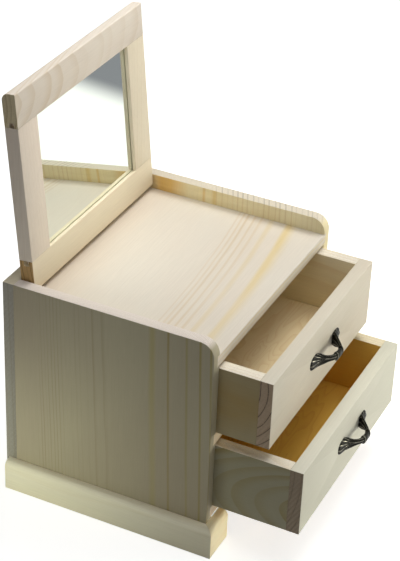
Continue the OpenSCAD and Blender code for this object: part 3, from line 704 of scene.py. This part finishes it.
# Reeds along the arms: rounded backs between narrow grooves
arm_turn = node(g, "ShaderNodeMath", {0: turn_round, 1: sizes.outputs["Arm Reeds"]},
                operation="MULTIPLY")
arm_half = node(g, "ShaderNodeMath", {0: arm_turn}, {1: 0.5}, operation="MULTIPLY")
arm_sine = node(g, "ShaderNodeMath", {0: arm_half}, operation="SINE")
arm_back = node(g, "ShaderNodeMath", {0: arm_sine}, operation="ABSOLUTE")
# Reeds of the shells, fanned out from the root of the arm
beyond = node(g, "ShaderNodeMath", {0: away, 1: sizes.outputs["Shell Root"]}, operation="SUBTRACT")
fan_reach = node(g, "ShaderNodeMath", {0: beyond}, {1: 0.5}, operation="MAXIMUM")
fan = node(g, "ShaderNodeMath", {0: flat_z, 1: fan_reach}, operation="ARCTAN2")
fan_turn = node(g, "ShaderNodeMath", {0: fan, 1: sizes.outputs["Shell Reeds"]},
                operation="MULTIPLY")
fan_cosine = node(g, "ShaderNodeMath", {0: fan_turn}, operation="COSINE")
fan_back = node(g, "ShaderNodeMath", {0: fan_cosine}, operation="ABSOLUTE")
in_shell = node(g, "ShaderNodeMapRange", {"Value": beyond}, {"From Min": 0.5, "From Max": 4.0},
                interpolation_type="SMOOTHSTEP")
off_collar = node(g, "ShaderNodeMapRange", {"Value": away}, {"From Min": 4.4, "From Max": 5.4})
on_arm = node(g, "ShaderNodeMath", {0: in_shell}, {1: -1.0, 2: 1.0}, operation="MULTIPLY_ADD")
arm_share = node(g, "ShaderNodeMath", {0: on_arm, 1: off_collar}, operation="MULTIPLY")
shell_low = node(g, "ShaderNodeMath", {1: fan_back}, {0: 1.0}, operation="SUBTRACT")
arm_low = node(g, "ShaderNodeMath", {1: arm_back}, {0: 1.0}, operation="SUBTRACT")
arm_groove = node(g, "ShaderNodeMath", {0: arm_low, 1: arm_share}, operation="MULTIPLY")
arm_cut = node(g, "ShaderNodeMath", {0: arm_groove, 1: sizes.outputs["Reed Depth"]},
               operation="MULTIPLY")
arm_left = node(g, "ShaderNodeMath", {1: arm_cut}, {0: 1.0}, operation="SUBTRACT")
girth = node(g, "ShaderNodeMath", {0: arm_left, 1: swell}, operation="MULTIPLY")
shell_groove = node(g, "ShaderNodeMath", {0: shell_low, 1: in_shell}, operation="MULTIPLY")
front_side = node(g, "ShaderNodeMath", {0: sine_round}, {1: 0.0}, operation="MAXIMUM")
shell_face = node(g, "ShaderNodeMath", {0: shell_groove, 1: front_side}, operation="MULTIPLY")
shell_cut = node(g, "ShaderNodeMath", {0: shell_face, 1: sizes.outputs["Shell Depth"]},
                 operation="MULTIPLY")
deep = node(g, "ShaderNodeMath", {0: sine_round, 1: half_thick}, operation="MULTIPLY")
lofted = node(g, "ShaderNodeMath", {0: deep, 1: girth, 2: middle}, operation="MULTIPLY_ADD")
carved = node(g, "ShaderNodeMath", {0: lofted, 1: shell_cut}, operation="SUBTRACT")
outwards = node(g, "ShaderNodeMath", {0: carved}, {1: 0.0}, operation="MAXIMUM")
forward = node(g, "ShaderNodeMath", {0: outwards}, {1: -1.0}, operation="MULTIPLY")
tall = node(g, "ShaderNodeMath", {0: flat_z, 1: girth}, operation="MULTIPLY")
point_mm = node(g, "ShaderNodeCombineXYZ", {"X": run, "Y": forward, "Z": tall})
point_m = node(g, "ShaderNodeVectorMath", {0: point_mm, 2: sizes.outputs["Place"]},
               {1: (0.001, 0.001, 0.001)}, operation="MULTIPLY_ADD")
# Crests of the reeds and the collar rings get the paler tone: partly rubbed wear, partly painted
# highlight
grooves = node(g, "ShaderNodeMath", {0: arm_groove, 1: shell_groove}, operation="MAXIMUM")
crest = node(g, "ShaderNodeMapRange", {"Value": grooves},
             {"From Min": 0.02, "From Max": 0.16, "To Min": 1.0, "To Max": 0.0})
crest_here = node(g, "ShaderNodeMath", {0: crest, 1: off_collar}, operation="MULTIPLY")
ring = node(g, "ShaderNodeMapRange", {"Value": swell}, {"From Min": 1.22, "From Max": 1.34})
high = node(g, "ShaderNodeMath", {0: crest_here, 1: ring}, operation="MAXIMUM")
# Stored while the sheet is still flat, since the fields read its places
stored = node(g, "GeometryNodeStoreNamedAttribute",
              {"Geometry": sheet.outputs["Mesh"], "Value": high}, {"Name": "ridge_wear_and_highlight"},
              data_type="FLOAT", domain="POINT")
formed = node(g, "GeometryNodeSetPosition", {"Geometry": stored, "Position": point_m})
closed = node(g, "GeometryNodeMergeByDistance", {"Geometry": formed}, {"Distance": 0.000002})
settled = node(g, "GeometryNodeRealizeInstances", {"Geometry": closed})
clad = node(g, "GeometryNodeSetMaterial", {"Geometry": settled, "Material": sizes.outputs["Metal"]})
node(g, "NodeGroupOutput", {0: clad})

# The screws: slotted, with domed heads, one for each shell. One lathed screw
# stands on the two points of a line, each turned to where it came tight.
slotted_screws, sizes = recipe_for("slotted_screws", (
    ("Half Spacing", "Float", 13.4), ("Around", "Int", 41), ("Slot Width", "Float", 0.0007),
    ("Turn Seed", "Int", 0), ("Place", "Vector", (0, 0, 0)), ("Metal", "Material", None)))
g = slotted_screws
# Along the screw in mm from the front face of the drawer, and its radius there
lathe = ((-3.0, 0), (-3.0, 0.95), (-2.7, 1.2), (9.0, 1.2), (9.0, 2.6), (9.3, 2.6), (9.8, 2.45),
         (10.2, 2.05), (10.48, 1.2), (10.6, 0))
sheet = node(g, "GeometryNodeMeshGrid", {"Vertices Y": sizes.outputs["Around"]},
             {"Size X": 1.0, "Size Y": 1.0, "Vertices X": len(lathe)})
spot = node(g, "GeometryNodeInputPosition")
parts = node(g, "ShaderNodeSeparateXYZ", {0: spot})
station = node(g, "ShaderNodeMath", {0: parts.outputs["X"]}, {1: 0.5}, operation="ADD")
curves = []
for column, low, span in ((0, -3.0, 13.6), (1, 0.0, 2.6)):
    shape = node(g, "ShaderNodeFloatCurve", {"Value": station})
    course = shape.mapping.curves[0]
    while len(course.points) < len(lathe):
        course.points.new(0.5, 0.5)
    for i, (point, row) in enumerate(zip(course.points, lathe)):
        point.location = (i / (len(lathe) - 1), (row[column] - low) / span)
        point.handle_type = "VECTOR"
    shape.mapping.update()
    curves.append(node(g, "ShaderNodeMath", {0: shape}, {1: span, 2: low},
                       operation="MULTIPLY_ADD"))
along_screw, screw_radius = curves
turn_round = node(g, "ShaderNodeMath", {0: parts.outputs["Y"]}, {1: 2 * math.pi},
                  operation="MULTIPLY")
cosine = node(g, "ShaderNodeMath", {0: turn_round}, operation="COSINE")
sine_round = node(g, "ShaderNodeMath", {0: turn_round}, operation="SINE")
wide = node(g, "ShaderNodeMath", {0: cosine, 1: screw_radius}, operation="MULTIPLY")
tall = node(g, "ShaderNodeMath", {0: sine_round, 1: screw_radius}, operation="MULTIPLY")
point_mm = node(g, "ShaderNodeCombineXYZ", {"X": wide, "Y": along_screw, "Z": tall})
point_m = node(g, "ShaderNodeVectorMath", {0: point_mm}, {1: (0.001, 0.001, 0.001)},
               operation="MULTIPLY")
turned = node(g, "GeometryNodeSetPosition",
              {"Geometry": sheet.outputs["Mesh"], "Position": point_m})
closed = node(g, "GeometryNodeMergeByDistance", {"Geometry": turned}, {"Distance": 0.000005})
slot_size = node(g, "ShaderNodeCombineXYZ", {"Z": sizes.outputs["Slot Width"]},
                 {"X": 0.008, "Y": 0.0015})
blade = node(g, "GeometryNodeMeshCube", {"Size": slot_size})
blade_at = node(g, "GeometryNodeTransform", {"Geometry": blade.outputs["Mesh"]},
                {"Translation": (0, 0.0106, 0)})
slotted = node(g, "GeometryNodeMeshBoolean", {0: closed, 1: blade_at}, operation="DIFFERENCE")
end_right = node(g, "ShaderNodeCombineXYZ", {"X": sizes.outputs["Half Spacing"]})
end_m = node(g, "ShaderNodeVectorMath", {0: end_right}, {1: (0.001, 0, 0)}, operation="MULTIPLY")
start_m = node(g, "ShaderNodeVectorMath", {0: end_m}, {1: (-1, 0, 0)}, operation="MULTIPLY")
stand_from = node(g, "ShaderNodeVectorMath", {0: start_m, 1: sizes.outputs["Place"]},
                  operation="ADD")
stand_to = node(g, "ShaderNodeVectorMath", {0: end_m, 1: sizes.outputs["Place"]}, operation="ADD")
pair = node(g, "GeometryNodeMeshLine", {"Start Location": stand_from, "Offset": stand_to},
            {"Count": 2}, mode="END_POINTS")
angle = node(g, "FunctionNodeRandomValue", {"Seed": sizes.outputs["Turn Seed"]},
             {0: (0, -1.4, 0), 1: (0, 1.4, 0)}, data_type="FLOAT_VECTOR")
stood = node(g, "GeometryNodeInstanceOnPoints",
             {"Points": pair.outputs["Mesh"], "Instance": slotted.outputs["Mesh"],
              "Rotation": angle})
settled = node(g, "GeometryNodeRealizeInstances", {"Geometry": stood})
clad = node(g, "GeometryNodeSetMaterial", {"Geometry": settled, "Material": sizes.outputs["Metal"]})
node(g, "NodeGroupOutput", {0: clad})


def grown(name, recipe, source, body, settings):
    """What a tree makes with these inputs, as one mesh with its faces outwards."""
    piece = bpy.data.objects.new(name, bpy.data.meshes.new(name))
    scene.collection.objects.link(piece)
    maker = piece.modifiers.new("maker", "NODES")
    maker.node_group = recipe
    for item in recipe.interface.items_tree:
        if item.in_out == "INPUT" and item.name in settings:
            maker[item.identifier] = settings[item.name]
    at_work = bpy.context.evaluated_depsgraph_get()
    made = bpy.data.meshes.new_from_object(piece.evaluated_get(at_work))
    piece.modifiers.remove(maker)
    made.materials.clear()
    made.materials.append(settings["Metal"])
    shape = bmesh.new()
    shape.from_mesh(made)
    bmesh.ops.dissolve_degenerate(shape, dist=1e-8, edges=shape.edges)
    bmesh.ops.recalc_face_normals(shape, faces=shape.faces)
    for face in shape.faces:
        face.smooth = True
        face.material_index = 0
    for edge in corners_over(shape, 40):
        edge.smooth = False
    shape.to_mesh(made)
    shape.free()
    piece.data = made
    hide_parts(source)
    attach(piece, body)


# Both stand on the drawer front, at the middle of the pull
for level_name, seed in (("upper", 3), ("lower", 8)):
    low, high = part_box(level_name + "_pull")
    middle_of_pull = (low + high) / 2
    foot = (middle_of_pull.x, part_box(level_name + "_front")[0].y, middle_of_pull.z)
    body = level_name + "_drawer"
    grown(level_name + "_bow_pull", bow_pull, level_name + "_pull", body,
          {"Place": foot, "Metal": bronze})
    grown(level_name + "_slotted_screws", slotted_screws, level_name + "_pull_screws", body,
          {"Place": foot, "Turn Seed": seed, "Metal": wire})
